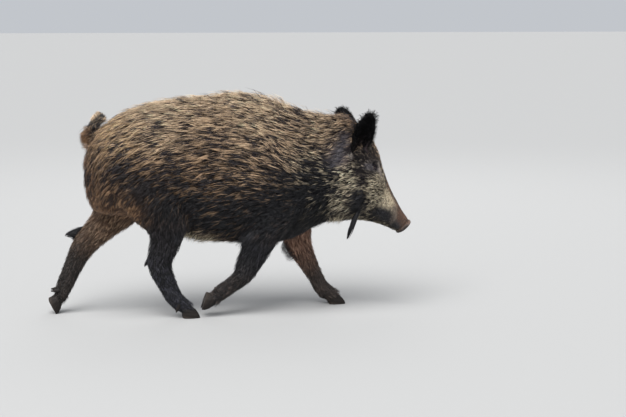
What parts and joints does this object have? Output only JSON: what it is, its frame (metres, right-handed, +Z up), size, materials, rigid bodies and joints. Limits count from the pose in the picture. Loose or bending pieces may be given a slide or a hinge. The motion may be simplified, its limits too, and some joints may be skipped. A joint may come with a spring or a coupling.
{
  "type": "wild boar",
  "caption": "Life-size still model of a wild boar walking, head held low, near fore foot just off the ground and far hind foot pushing off from its toe.",
  "frame": {"origin": "on the floor, below the middle of the box round the whole animal", "axes": "+X the way it walks, +Y its left side, +Z up"},
  "size_m": [1.2176, 0.298, 0.736],
  "materials": {
    "coat": "coarse winter coat, dark brown with buff tips",
    "dark_coat": "short dense hair, nearly black",
    "nose": "bare moist skin, grey-brown",
    "horn": "hoof horn, dark grey-brown, worn and dull",
    "eye": "wet, very dark brown"
  },
  "bodies": {
    "root": {"hindquarters": "coat", "barrel": "coat", "forequarters": "coat", "neck": "coat", "head": "coat", "tail": "coat", "nose_disc": "nose", "ear_right": "dark_coat", "eye_right": "eye", "ear_left": "dark_coat", "eye_left": "eye", "right_fore_upper_leg": "dark_coat", "right_fore_lower_leg": "dark_coat", "right_fore_hoof_outer": "horn", "right_fore_hoof_inner": "horn", "right_fore_dewclaw_outer": "horn", "right_fore_dewclaw_inner": "horn", "left_fore_upper_leg": "dark_coat", "left_fore_lower_leg": "dark_coat", "left_fore_hoof_outer": "horn", "left_fore_hoof_inner": "horn", "left_fore_dewclaw_outer": "horn", "left_fore_dewclaw_inner": "horn", "right_hind_upper_leg": "dark_coat", "right_hind_lower_leg": "dark_coat", "right_hind_hoof_outer": "horn", "right_hind_hoof_inner": "horn", "right_hind_dewclaw_outer": "horn", "right_hind_dewclaw_inner": "horn", "left_hind_upper_leg": "dark_coat", "left_hind_lower_leg": "dark_coat", "left_hind_hoof_outer": "horn", "left_hind_hoof_inner": "horn", "left_hind_dewclaw_outer": "horn", "left_hind_dewclaw_inner": "horn"}
  },
  "joints": []
}
